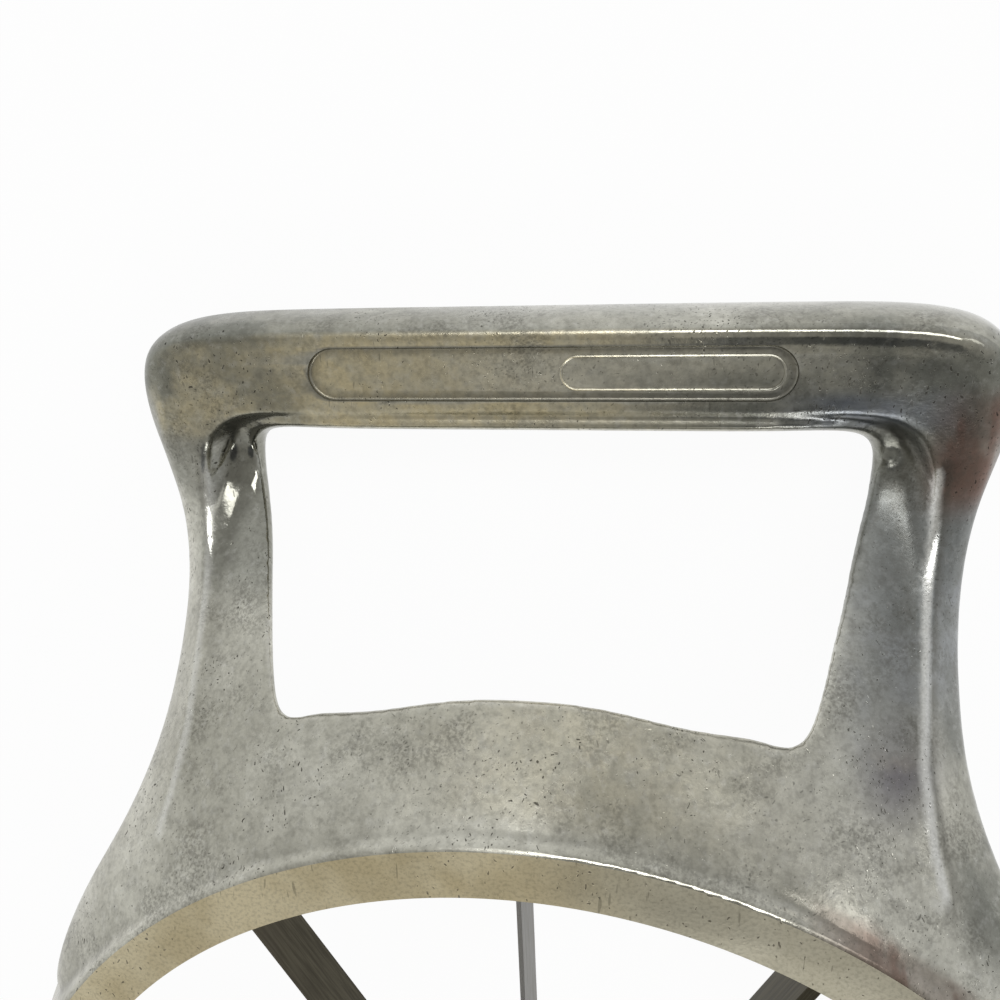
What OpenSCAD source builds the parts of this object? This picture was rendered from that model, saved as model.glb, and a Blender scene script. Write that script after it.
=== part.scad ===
// Apple slicer press: a cast ring with two raised grips, twelve wedge blades and a corer tube.
// The cutting side faces up and the press lies on the backs of its two grips.
// Heights inside the modules are counted down from the ground rim of the ring.

/* [Ring] */
// Radius of the opening at the ground rim
opening_r = 50; // [46:0.5:54]
// Width of the flat ground rim
rim_w = 4.7; // [4:0.1:5.5]
// Radius of the worn edge between rim and skirt
rim_round = 0.8; // [0.4:0.1:1.5]
// Depth of the ring from its rim to its back edge
ring_depth = 15; // [13:0.5:18]
// Outward flare of the skirt over the depth of the ring
skirt_flare = 4.4; // [2:0.2:5]
// Wall of the ring at its back edge
back_wall = 3.4; // [2.5:0.1:4.5]

/* [Handle] */
// Fall of the web and arms, in degrees from level
web_fall = 47.5; // [40:0.5:55]
// Radius of the bend where the arms level out towards the grip
elbow_r = 20; // [12:1:28]
// Depth of the level part of the arms below the rim
level_drop = 27.5; // [25:0.5:30]
// Distance of the window's lower edge from the ring's axis
window_r = 63.2; // [61:0.1:65]
// Half width of the window beside the grip
window_top = 29.9; // [26:0.1:32]
// Half width of the window beside the ring
window_foot = 22.2; // [19:0.1:24]
// Half width over the arms at their waist
waist_half = 37.4; // [35:0.1:40]
// Thickness of an arm
arm_t = 6.6; // [5:0.1:8]

/* [Grip] */
// Distance of the grip's middle from the ring's axis
grip_y = 87.3; // [84:0.2:92]
// Half length of the grip over its rounded ends
grip_half = 41; // [38:0.2:44]
// Width of the grip bar
grip_w = 10.9; // [10:0.2:14]
// Thickness of the grip bar
grip_t = 10.8; // [9:0.2:13]
// Depth of the grip's face below the rim
grip_drop = 25.2; // [24:0.2:28]
// Depth of the scooped corner beside the grip
scoop = 3.2; // [0:0.2:4]

/* [Label field] */
// Length of the bare sunk field in the grip's face
field_l = 45.4; // [30:0.5:50]
// Width of the sunk field
field_w = 5.1; // [3:0.1:6]
// Offset of the sunk field from the grip's middle, away from the ring
field_off = 0.3; // [0:0.1:0.6]
// Depth of the sunk field
field_d = 0.6; // [0.3:0.1:1]

/* [Blades] */
// Number of blades, evenly spaced
blade_n = 12; // [6:1:16]
// Thickness of a blade
blade_t = 0.6; // [0.4:0.05:1]
// Depth of a blade from its cutting edge to its back
blade_h = 6; // [5:0.1:7]
// Height of the ground bevel on one side of the edge
bevel_h = 0.9; // [0.5:0.1:2]
// Depth of the cutting edges below the ring's rim
edge_drop = 1.7; // [1:0.1:2.5]
// Length of blade held in the ring's slot
blade_hold = 2.1; // [1.2:0.1:2.6]
// Side clearance of a blade in its slots
slot_clear = 0.05; // [0.02:0.01:0.1]
// Clearance past the end of a blade
end_clear = 0.1; // [0.05:0.01:0.3]

/* [Corer] */
// Outer diameter of the corer tube
corer_d = 22; // [18:0.5:26]
// Wall of the corer tube
corer_wall = 1; // [0.7:0.1:1.5]
// Length of the corer tube
corer_l = 12; // [9:0.5:16]
// Height of the tube's edge above the cutting edges of the blades
corer_lead = 0.9; // [0:0.1:0.9]
// Height of the ground bevel inside the tube's cutting edge
corer_bevel = 1.4; // [0.8:0.1:2]

/* [Hidden] */

total_h = grip_drop + grip_t;
corer_r = corer_d / 2;
seat_drop = edge_drop + blade_h;
slot_w = blade_t + 2 * slot_clear;
blade_r = opening_r + blade_hold;
cut_over = 2;
face_steps = 96;

// Ring section
skirt_r = opening_r + rim_w + skirt_flare;
flare_angle = atan(skirt_flare / ring_depth);
rim_set = rim_round * 0.5;
throat_run = rim_round * 1.25;
throat_l = seat_drop + throat_run;
lip_round = back_wall * 0.3;
throat_angle = -200;

// Slope of the web and arms: a cone, a bend and a level stretch
web_r = opening_r + rim_w;
rim_dip = rim_round * 0.37;
// The stations round the window are set out in fiftieths of the opening's radius
station_unit = opening_r / 50;
anchor_r = opening_r + rim_w / 2;
fall_k = tan(web_fall);
bend_r = web_r + level_drop / fall_k + elbow_r * tan(web_fall / 2);
cone_end_r = bend_r - elbow_r * sin(web_fall);

// Grip edges in plan
grip_in = grip_y - grip_w / 2;
grip_out = grip_y + grip_w / 2;

function blade_name(i) = str("blade_", i < 10 ? "0" : "", i);
function blade_azimuth(i) = 90 - (i - 1) * 360 / blade_n;

function arc(centre, r, from, to, steps) =
    [for (i = [0 : steps]) let (a = from + (to - from) * i / steps) centre + r * [cos(a), sin(a)]];

// Depth of the handle's upper surface at a distance r from the ring's axis
function fall_at(r) =
    r < cone_end_r ? max(rim_dip, (r - web_r) * fall_k)
    : r < bend_r ? level_drop - elbow_r + sqrt(elbow_r ^ 2 - (bend_r - r) ^ 2)
    : level_drop;

// Slope of that surface, in degrees
function slope_at(r) =
    r < cone_end_r ? web_fall
    : r < bend_r ? asin((bend_r - r) / elbow_r)
    : 0;

function mix(a, b, t) = a + (b - a) * t;
function clamp(t) = min(1, max(0, t));
// A point at a distance and at an angle from +Y towards +X
function polar(r, angle) = r * [sin(angle), cos(angle)];

// One pass of cubic smoothing round a closed list of points or of sections
function refine(c) =
    let (n = len(c))
    [for (i = [0 : n - 1]) each [
        (c[(i + n - 1) % n] + 6 * c[i] + c[(i + 1) % n]) / 8,
        (c[i] + c[(i + 1) % n]) / 2
    ]];
// Moves the points onto the smooth surface that they stand for
function settle(c) =
    let (n = len(c)) [for (i = [0 : n - 1]) (c[(i + n - 1) % n] + 4 * c[i] + c[(i + 1) % n]) / 6];
function smooth(c) = settle(refine(c));

// Sections across the handle, from the window's edge outwards and back below:
// share of the width, and share of the thickness below the upper surface.
arm_section = [
    [-0.03, 0.10], [0.01, -0.02], [0.18, 0.01], [0.38, 0.03], [0.58, 0.01], [0.65, -0.11], [0.72, 0.00],
    [0.93, 0.16], [1.04, 0.42], [1.02, 0.80], [0.82, 1.03], [0.48, 1.03], [0.32, 0.84], [0.17, 0.46]
];
grip_section = [
    [-0.01, 0.28], [0.03, 0.06], [0.14, -0.01], [0.26, 0.00], [0.38, 0.00], [0.50, 0.00], [0.84, -0.01],
    [0.98, 0.08], [1.03, 0.34], [1.03, 0.76], [0.80, 1.00], [0.56, 1.00], [0.34, 1.00], [0.20, 0.78]
];
web_section = [
    [-0.03, 0.10], [0.01, -0.01], [0.14, 0.00], [0.26, 0.00], [0.38, 0.00], [0.50, 0.00], [0.62, 0.00],
    [0.98, 0.02], [1.00, 0.30], [1.00, 0.80], [0.80, 1.00], [0.40, 1.00], [0.12, 0.80], [0.02, 0.40]
];

// Stations round the window, from the middle of the grip to the middle of the web:
// window edge, outer edge, share of grip and of web section, thickness, share of the scoop
function stations() = let (
        u = station_unit,
        corner = window_top,
        foot = window_foot,
        foot_y = sqrt(window_r ^ 2 - window_foot ^ 2),
        end = grip_half,
        waist = waist_half,
        corner_t = grip_t - 0.3 * u,
        root_t = arm_t + 3 * u)
    [
        [[0, grip_in], [0, grip_out], [1, 0], grip_t, 0],
        [[corner * 0.4, grip_in], [end * 0.33, grip_out], [1, 0], grip_t, 0],
        [[corner * 0.73, grip_in], [end * 0.64, grip_out], [1, 0], grip_t, 0],
        [[corner - 2.2 * u, grip_in], [end - 5.6 * u, grip_out - 0.2 * u], [1, 0], grip_t, 0.4],
        [[corner + 0.8 * u, grip_in - 1.7 * u], [end + 0.6 * u, grip_out - 2.4 * u], [0.9, 0], corner_t, 1],
        [[corner + 0.6 * u, grip_in - 5.4 * u], [end + u, grip_in - 0.8 * u], [0.5, 0], grip_t - 2 * u, 1],
        [[corner - 1.1 * u, grip_in - 9.4 * u], [end - 1.4 * u, grip_in - 8 * u], [0.12, 0], arm_t + u, 0.4],
        [[corner - 2.7 * u, grip_in - 13.8 * u], [waist + u, grip_in - 15 * u], [0, 0], arm_t, 0.08],
        [[foot + 3.7 * u, foot_y + 5.6 * u], [waist + 0.6 * u, grip_in - 21.8 * u], [0, 0], arm_t, 0],
        [[foot + 2.2 * u, foot_y + 1.8 * u], [waist + 1.1 * u, grip_in - 27.5 * u], [0, 0.2], arm_t, 0],
        [[foot + 0.8 * u, foot_y + 0.4 * u], [waist + 3.9 * u, grip_in - 35 * u], [0, 0.5], arm_t, 0],
        [[foot - u, foot_y + 0.6 * u], polar(skirt_r + 1.6 * u, 50), [0, 0.9], arm_t + 2 * u, 0],
        [[foot - 2.6 * u, foot_y + 1.2 * u], polar(skirt_r - 1.6 * u, 61), [0, 1], root_t, 0],
        [[foot - 5 * u, foot_y + 1.6 * u], polar(anchor_r, 51), [0, 1], root_t, 0],
        [polar(window_r - 0.4 * u, 12), polar(anchor_r, 32), [0, 1], arm_t, 0],
        [polar(window_r, 6), polar(anchor_r, 16), [0, 1], arm_t, 0],
        [[0, window_r], [0, anchor_r], [0, 1], arm_t, 0]
    ];

function handle_section(s) = [
    for (k = [0 : len(arm_section) - 1])
    let (
        shape = mix(mix(arm_section[k], web_section[k], s[2][1]), grip_section[k], s[2][0]),
        plan = mix(s[0], s[1], shape[0]),
        r = norm(plan),
        top = mix(fall_at(r), grip_drop, s[2][0]),
        lean = slope_at(r) * (1 - s[2][0]),
        inward = clamp((r - anchor_r) / (window_r - anchor_r)),
        sunk = k > 0 && k < 4 ? scoop * s[4] : 0,
        deep = shape[1] * s[3] + sunk,
        foot = plan * (1 - deep * sin(lean) * inward / r))
    [foot.x, foot.y, -top - deep * mix(1, cos(lean), inward)]
];

function mirrored(section) = [for (p = section) [-p.x, p.y, p.z]];

function handle_cage() =
    let (half = [for (s = stations()) handle_section(s)], last = len(half) - 1)
    concat(half, [for (i = [last - 1 : -1 : 1]) mirrored(half[i])]);

// Closed skin over a ring of sections
module skin(grid) {
    rows = len(grid);
    cols = len(grid[0]);
    points = [for (row = grid) each row];
    faces = [
        for (i = [0 : rows - 1], j = [0 : cols - 1])
        let (
            a = i * cols + j,
            b = i * cols + (j + 1) % cols,
            c = (i + 1) % rows * cols + (j + 1) % cols,
            d = (i + 1) % rows * cols + j)
        each [[a, b, c], [a, c, d]]
    ];
    polyhedron(points, faces, convexity = 6);
}

module handle() {
    skin(smooth([for (section = handle_cage()) smooth(section)]));
}

module ring() {
    back_r = skirt_r - back_wall;
    lip_z = lip_round - ring_depth;
    rotate_extrude($fn = face_steps)
        polygon(concat(
            [[opening_r, -throat_l], [opening_r, 0]],
            arc([web_r - rim_set, -rim_round], rim_round, 90, flare_angle, 5),
            arc([skirt_r - lip_round, lip_z], lip_round, flare_angle, -90, 4),
            arc([back_r + lip_round, lip_z], lip_round, -90, throat_angle, 4)
        ));
}

// Slot along a blade's place, from the edge's height down to a depth
module blade_slot(from_r, to_r, depth) {
    translate([from_r, -slot_w / 2, -depth])
        cube([to_r - from_r, slot_w, depth - edge_drop + slot_clear]);
}

module label_field() {
    reach = (field_l - field_w) / 2;
    translate([0, grip_y + field_off, -grip_drop - field_d])
        linear_extrude(cut_over + field_d)
            union() {
                square([2 * reach, field_w], center = true);
                for (side = [-1, 1]) translate([side * reach, 0]) circle(d = field_w, $fn = 32);
            }
}

module cast_frame() {
    color("#a5a59b") translate([0, 0, total_h]) difference() {
        union() {
            ring();
            for (turn = [0, 180]) rotate(turn) handle();
        }
        for (turn = [0, 180]) rotate(turn) label_field();
        for (i = [1 : blade_n])
            rotate(blade_azimuth(i))
                blade_slot(opening_r - cut_over, blade_r + end_clear, seat_drop);
    }
}

module corer_tube() {
    inner_r = corer_r - corer_wall;
    edge = edge_drop - corer_lead;
    color("#8f8b80") translate([0, 0, total_h]) difference() {
        rotate_extrude($fn = face_steps)
            polygon([
                [inner_r, -edge - corer_l],
                [corer_r, -edge - corer_l],
                [corer_r, -edge],
                [inner_r, -edge - corer_bevel]
            ]);
        for (i = [1 : blade_n])
            rotate(blade_azimuth(i))
                blade_slot(inner_r - cut_over, corer_r + cut_over, seat_drop);
    }
}

module blade(i) {
    inner_r = corer_r - corer_wall + end_clear;
    color("#6a6455") translate([0, 0, total_h]) rotate(blade_azimuth(i))
        translate([inner_r, 0, -edge_drop]) rotate([90, 0, 90])
            linear_extrude(blade_r - inner_r)
                polygon([
                    [-blade_t / 2, 0],
                    [-blade_t / 2, -blade_h],
                    [blade_t / 2, -blade_h],
                    [blade_t / 2, -bevel_h]
                ]);
}

cast_frame();
corer_tube();
for (i = [1 : blade_n])
    blade(i);
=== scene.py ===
import math

import bmesh
import bpy
import numpy as np
from mathutils import Matrix, Vector


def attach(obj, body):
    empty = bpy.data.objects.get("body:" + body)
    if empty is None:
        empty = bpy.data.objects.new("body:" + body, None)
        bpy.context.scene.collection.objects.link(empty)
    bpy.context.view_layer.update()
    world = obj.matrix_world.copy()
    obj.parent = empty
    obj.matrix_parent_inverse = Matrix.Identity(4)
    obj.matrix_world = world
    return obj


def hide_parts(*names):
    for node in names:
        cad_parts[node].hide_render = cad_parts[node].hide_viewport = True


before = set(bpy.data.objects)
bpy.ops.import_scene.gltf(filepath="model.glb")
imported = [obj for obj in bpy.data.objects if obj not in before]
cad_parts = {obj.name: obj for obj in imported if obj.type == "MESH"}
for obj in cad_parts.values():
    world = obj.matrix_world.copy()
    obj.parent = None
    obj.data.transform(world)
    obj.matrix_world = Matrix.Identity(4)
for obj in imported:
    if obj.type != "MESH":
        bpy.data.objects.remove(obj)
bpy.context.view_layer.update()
millimetre = 0.001
rimHeight = 36.0 * millimetre  # height of the ground rim above the surface


# Meshes are drawn in millimetres, with z = 0 at the ground rim
ring = {
    "openingRadius": 50.0,
    "rimWidth": 4.7,
    "rimRound": 0.8,
    "rimRise": 0.05,
    "rimArcStart": 84.0,  # degrees up from level
    "rimSteps": 8,
    "depth": 15.0,
    "skirtFlare": 4.4,
    "backWall": 3.4,
    "lipShare": 0.3,  # rounding of the back wall's edges, as a share of the wall
    "lipArcEnd": -200.0,
    "lipSteps": 6,
    "throatLength": 8.7,
    "throatEase": 0.6,  # the throat's wall stops this far above its end
    "backEase": (0.25, 0.5),  # outwards and down from there, where the hollow back begins
    "machiningStock": 0.5,  # left on the rim and in the throat, then cut away
    "stockInset": 0.9,  # how far inside the outer edge the stock on the rim stops
    "slabSize": (150, 150, 20),  # cutter above the rim
    "boreDepth": 40,  # cutter through the opening
    "segments": 256,
}

handle = {
    "webFall": 47.5,  # degrees down from level
    "elbowRadius": 20.0,
    "levelDrop": 27.5,  # where the elbow ends level, below the rim
    "windowRadius": 63.2,
    "windowTop": 29.9,
    "windowFoot": 22.2,
    "waistHalf": 37.4,
    "armThickness": 6.6,
    "gripY": 87.3,
    "gripHalf": 41.0,
    "gripWidth": 10.9,
    "gripThickness": 10.8,
    "gripDrop": 25.2,
    "scoop": 3.2,
    "rimDip": 0.3,
    "subdivision": 3,
    "turns": (0, math.pi),  # the second handle is the first turned by half a turn
}

# Sections across the handle, from the window's edge outwards and back below:
# share of the width, and share of the thickness below the upper surface
armSection = [
    (-0.01, 0.10), (0.00, 0.01), (0.03, -0.01), (0.12, 0.00), (0.24, 0.015), (0.36, 0.02),
    (0.47, 0.02), (0.56, 0.005), (0.62, -0.04), (0.65, -0.09), (0.68, -0.06), (0.76, 0.01),
    (0.85, 0.07), (0.93, 0.15), (0.99, 0.23), (1.02, 0.33), (1.035, 0.45), (1.04, 0.58),
    (1.03, 0.70), (0.99, 0.88), (0.82, 1.03), (0.48, 1.03), (0.32, 0.84), (0.17, 0.46),
]
gripSection = [
    (-0.01, 0.30), (0.00, 0.15), (0.03, 0.05), (0.06, 0.005), (0.09, 0.00), (0.115, 0.00),
    (0.135, 0.00), (0.155, 0.00), (0.175, 0.00), (0.20, -0.005), (0.25, -0.005), (0.46, 0.00),
    (0.68, 0.00), (0.735, 0.00), (0.765, 0.00), (0.79, 0.00), (0.86, -0.01), (0.97, 0.07),
    (1.027, 0.34), (1.027, 0.76), (0.80, 0.995), (0.56, 0.995), (0.34, 0.995), (0.20, 0.78),
]
webSection = [
    (-0.01, 0.10), (0.00, 0.01), (0.03, -0.005), (0.10, 0.00), (0.18, 0.00), (0.24, 0.00),
    (0.30, 0.00), (0.37, 0.00), (0.44, 0.00), (0.50, 0.00), (0.56, 0.00), (0.62, 0.00),
    (0.69, 0.00), (0.77, 0.00), (0.85, 0.005), (0.94, 0.02), (0.99, 0.10), (1.00, 0.30),
    (1.00, 0.55), (1.00, 0.80), (0.80, 1.00), (0.40, 1.00), (0.12, 0.80), (0.02, 0.40),
]
# Share of the scoop's depth at the points of a section
scoopShare = {
    23: 0.5, 0: 1.0, 1: 1.0, 2: 1.0, 3: 1.0, 4: 1.0, 5: 0.97, 6: 0.88, 7: 0.68, 8: 0.42, 9: 0.16, 10: 0.04,
}
# Folds along the bar: how far points of the section sink, in shares of the thickness
nearCrease = {5: 0.02, 6: 0.045, 7: 0.05, 8: 0.025}
farCrease = {13: 0.005, 14: 0.03, 15: 0.008, 16: -0.015}
faceDip = {9: 0.02, 10: 0.045, 11: 0.02}
# Shares of the near crease, the far crease and the face's dip, for the stations from the bar's middle out
foldShares = [
    (1.0, 1.0, 0.0), (1.0, 0.9, 0.3), (1.0, 0.7, 0.8), (0.5, 0.4, 1.0), (0.0, 0.1, 0.9), (0.0, 0.0, 0.4),
]
# The crest that runs up each arm: its point in the section, and its first and last station
crestLine = {"point": 9, "first": 5, "last": 11}


def mix(a, b, t):
    return a + (b - a) * t


def polar(radius, degrees):
    return Vector((math.sin(math.radians(degrees)), math.cos(math.radians(degrees)))) * radius


def slopePlan():
    webEdge = ring["openingRadius"] + ring["rimWidth"]
    steepness = math.tan(math.radians(handle["webFall"]))
    bend = webEdge + handle["levelDrop"] / steepness
    bend += handle["elbowRadius"] * math.tan(math.radians(handle["webFall"] / 2))
    coneEnd = bend - handle["elbowRadius"] * math.sin(math.radians(handle["webFall"]))
    return webEdge, steepness, bend, coneEnd


def depthAt(r):
    webEdge, steepness, bend, coneEnd = slopePlan()
    if r < coneEnd:
        return max(handle["rimDip"], (r - webEdge) * steepness)
    if r < bend:
        radius = handle["elbowRadius"]
        return handle["levelDrop"] - radius + math.sqrt(radius ** 2 - (bend - r) ** 2)
    return handle["levelDrop"]


def slopeAt(r):
    bend, coneEnd = slopePlan()[2:]
    if r < coneEnd:
        return math.radians(handle["webFall"])
    if r < bend:
        return math.asin((bend - r) / handle["elbowRadius"])
    return 0.0


def stations():
    # window edge, outer edge, share of grip, share of web, thickness, share of the scoop
    corner, foot, end = handle["windowTop"], handle["windowFoot"], handle["gripHalf"]
    waist, window = handle["waistHalf"], handle["windowRadius"]
    footY = math.sqrt(window ** 2 - foot ** 2)
    gripIn = handle["gripY"] - handle["gripWidth"] / 2
    gripOut = handle["gripY"] + handle["gripWidth"] / 2
    grip, arm = handle["gripThickness"], handle["armThickness"]
    anchor = ring["openingRadius"] + ring["rimWidth"] / 2
    skirt = ring["openingRadius"] + ring["rimWidth"] + ring["skirtFlare"]
    return [
        (Vector((0, gripIn)), Vector((0, gripOut)), 1, 0, grip, 0),
        (Vector((corner * 0.4, gripIn)), Vector((end * 0.33, gripOut)), 1, 0, grip, 0),
        (Vector((corner * 0.73, gripIn)), Vector((end * 0.64, gripOut)), 1, 0, grip, 0),
        (Vector((corner - 2.2, gripIn)), Vector((end - 5.6, gripOut - 0.2)), 1, 0, grip, 0.4),
        (Vector((corner + 0.8, gripIn - 1.7)), Vector((end + 0.6, gripOut - 2.4)), 0.9, 0, grip - 0.3, 1),
        (Vector((corner + 0.6, gripIn - 5.4)), Vector((end + 1, gripIn - 0.8)), 0.5, 0, grip - 2, 1),
        (Vector((corner - 1.1, gripIn - 9.4)), Vector((end - 1.4, gripIn - 8)), 0.12, 0, arm + 1, 0.4),
        (Vector((corner - 2.7, gripIn - 13.8)), Vector((waist + 1, gripIn - 15)), 0, 0, arm, 0.08),
        (Vector((foot + 3.7, footY + 5.6)), Vector((waist + 0.6, gripIn - 21.8)), 0, 0, arm, 0),
        (Vector((foot + 2.2, footY + 1.8)), Vector((waist + 1.1, gripIn - 27.5)), 0, 0.2, arm, 0),
        (Vector((foot + 0.8, footY + 0.4)), Vector((waist + 3.9, gripIn - 35)), 0, 0.5, arm, 0),
        (Vector((foot - 1, footY + 0.6)), polar(skirt + 1.6, 50), 0, 0.9, arm + 2, 0),
        (Vector((foot - 2.6, footY + 1.2)), polar(skirt - 1.6, 61), 0, 1, arm + 3, 0),
        (Vector((foot - 5, footY + 1.6)), polar(anchor, 51), 0, 1, arm + 3, 0),
        (polar(window - 0.4, 12), polar(anchor, 32), 0, 1, arm, 0),
        (polar(window, 6), polar(anchor, 16), 0, 1, arm, 0),
        (Vector((0, window)), Vector((0, anchor)), 0, 1, arm, 0),
    ]


def sectionPoint(k, gripShare, webShare):
    # share of the width and of the thickness at one point of a section
    return [mix(mix(arm, web, webShare), grip, gripShare)
            for arm, web, grip in zip(armSection[k], webSection[k], gripSection[k])]


def handleLoop(station, shares):
    inner, outer, gripShare, webShare, thickness, scooped = station
    anchor = ring["openingRadius"] + ring["rimWidth"] / 2
    points = []
    for k in range(len(armSection)):
        across, below = sectionPoint(k, gripShare, webShare)
        plan = inner.lerp(outer, across)
        if across < 0 or across > 1:
            plan = inner + (outer - inner) * across
        r = plan.length
        top = mix(depthAt(r), handle["gripDrop"], gripShare)
        lean = slopeAt(r) * (1 - gripShare)
        inward = min(1, max(0, (r - anchor) / (handle["windowRadius"] - anchor)))
        for share, fold in zip(shares, (nearCrease, farCrease, faceDip)):
            below += share * fold.get(k, 0)
        deep = below * thickness + handle["scoop"] * scooped * scoopShare.get(k, 0)
        foot = plan * (1 - deep * math.sin(lean) * inward / r)
        points.append(Vector((foot.x, foot.y, -top - deep * mix(1, math.cos(lean), inward))))
    return points


def lofted(bm, loops):
    row = [bm.verts.new(p) for p in loops[0]]
    for i in range(len(row)):
        bm.edges.new((row[i - 1], row[i]))
    for loop in loops[1:]:
        edges = [bm.edges.get((row[i - 1], row[i])) for i in range(len(row))]
        made = bmesh.ops.extrude_edge_only(bm, edges=edges)["geom"]
        fresh = {g for g in made if isinstance(g, bmesh.types.BMVert)}
        row = [next(e.other_vert(v) for e in v.link_edges if e.other_vert(v) in fresh) for v in row]
        for vert, point in zip(row, loop):
            vert.co = point


def linked(name, data):
    made = bpy.data.objects.new(name, data)
    bpy.context.scene.collection.objects.link(made)
    return made


def meshPiece(bm, name):
    mesh = bpy.data.meshes.new(name)
    bm.to_mesh(mesh)
    bm.free()
    return linked(name, mesh)


def meshFrom(bm, name):
    # from millimetres around the rim's level to metres above the surface
    bmesh.ops.recalc_face_normals(bm, faces=bm.faces)
    bm.transform(Matrix.Translation((0, 0, rimHeight)) @ Matrix.Scale(millimetre, 4))
    return meshPiece(bm, name)


def applied(piece, kind, **settings):
    modifier = piece.modifiers.new(kind.lower(), kind)
    for name, value in settings.items():
        setattr(modifier, name, value)
    graph = bpy.context.evaluated_depsgraph_get()
    mesh = bpy.data.meshes.new_from_object(piece.evaluated_get(graph))
    piece.modifiers.clear()
    piece.data = mesh
    return piece


def joined(name, parts):
    bm = bmesh.new()
    for part in parts:
        bm.from_mesh(part.data)
        bpy.data.objects.remove(part)
    return meshPiece(bm, name)


def carved(piece, cutter, operation="DIFFERENCE"):
    applied(piece, "BOOLEAN", operation=operation, solver="MANIFOLD", object=cutter)
    bpy.data.objects.remove(cutter)


def turnAbout(bm, turn, verts=None):
    # about the tool's middle axis
    matrix = Matrix.Rotation(turn, 3, "Z")
    bmesh.ops.rotate(bm, verts=verts or bm.verts, cent=(0, 0, 0), matrix=matrix)


def beveled(bm, edges, offset, segments):
    bmesh.ops.bevel(bm, geom=edges, offset=offset, offset_type="OFFSET", affect="EDGES",
                    segments=segments, profile=0.5, material=-1)


def extruded(bm, outline, vec):
    end = bm.faces.new([bm.verts.new(point) for point in outline])
    grown = bmesh.ops.extrude_face_region(bm, geom=[end])["geom"]
    bmesh.ops.translate(bm, vec=vec, verts=[g for g in grown if isinstance(g, bmesh.types.BMVert)])


def revolved(profile, segments):
    bm = bmesh.new()
    verts = [bm.verts.new((x, 0, z)) for x, z in profile]
    edges = [bm.edges.new((verts[i - 1], verts[i])) for i in range(len(verts))]
    bmesh.ops.spin(bm, geom=verts + edges, cent=(0, 0, 0), axis=(0, 0, 1), angle=2 * math.pi,
                   steps=segments, use_merge=True)
    return bm


def shadeSmooth(piece, sharpAngle):
    piece.data.polygons.foreach_set("use_smooth", [True] * len(piece.data.polygons))
    piece.data.set_sharp_from_angle(angle=math.radians(sharpAngle))


def makeHandle(turn):
    rows = stations()
    shares = foldShares + [(0.0, 0.0, 0.0)] * (len(rows) - len(foldShares))
    bm = bmesh.new()
    lofted(bm, [handleLoop(row, share) for row, share in zip(rows, shares)])
    bmesh.ops.mirror(bm, geom=bm.verts[:] + bm.edges[:] + bm.faces[:], axis="X", merge_dist=0.001)
    turnAbout(bm, turn)
    levels = handle["subdivision"]
    return applied(meshFrom(bm, "handle"), "SUBSURF", levels=levels, render_levels=levels)


def arcPoints(x, z, radius, start, stop, steps):
    angles = [math.radians(mix(start, stop, i / steps)) for i in range(steps + 1)]
    return [(x + radius * math.cos(a), z + radius * math.sin(a)) for a in angles]


def makeRing():
    opening, rim, edge = ring["openingRadius"], ring["rimWidth"], ring["rimRound"]
    stock, depth, throat = ring["machiningStock"], ring["depth"], ring["throatLength"]
    skirt = opening + rim + ring["skirtFlare"]
    back = skirt - ring["backWall"]
    lip = ring["backWall"] * ring["lipShare"]
    flare = math.degrees(math.atan(ring["skirtFlare"] / depth))
    outwards, down = ring["backEase"]
    middle, level = opening + rim - edge / 2, ring["rimRise"] - edge
    profile = [(opening - stock, ring["throatEase"] - throat), (opening - stock, stock)]
    profile += [(opening + rim - ring["stockInset"], stock)]
    profile += arcPoints(middle, level, edge, ring["rimArcStart"], flare, ring["rimSteps"])
    profile += arcPoints(skirt - lip, lip - depth, lip, flare, -90, ring["lipSteps"])
    profile += arcPoints(back + lip, lip - depth, lip, -90, ring["lipArcEnd"], ring["lipSteps"])
    profile += [(opening + outwards, -throat - down)]
    return meshFrom(revolved(profile, ring["segments"]), "ringBody")


def slabCutter():
    # cuts everything above the rim's level
    bm = bmesh.new()
    bmesh.ops.create_cube(bm, size=1)
    bmesh.ops.scale(bm, vec=ring["slabSize"], verts=bm.verts)
    bmesh.ops.translate(bm, vec=(0, 0, ring["slabSize"][2] / 2), verts=bm.verts)
    return meshFrom(bm, "slabCutter")


def boreCutter():
    bm = bmesh.new()
    r = ring["openingRadius"]
    bmesh.ops.create_cone(bm, cap_ends=True, segments=ring["segments"], radius1=r, radius2=r,
                          depth=ring["boreDepth"])
    return meshFrom(bm, "boreCutter")


labelField = {
    "length": 45.4,
    "width": 5.1,
    "offset": 0.3,
    "depth": 0.6,
    "cutHeight": 4.0,
    "floorRound": 0.3,
    "floorRings": (0.25, 0.45, 0.6),
    "cornerSegments": 24,
    "frameMiddle": 11.6,
    "frameLength": 20.0,
    "frameWidth": 3.1,
    "frameBead": 0.16,
}


def labelSpot():
    # how far along the handle the field lies, and the level of its floor
    return handle["gripY"] + labelField["offset"], -handle["gripDrop"] - labelField["depth"]


def ovalOutline(length, width):
    r = width / 2
    reach = length / 2 - r
    steps = labelField["cornerSegments"]
    return arcPoints(reach, 0, r, -90, 90, steps) + arcPoints(-reach, 0, r, 90, 270, steps)


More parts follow.
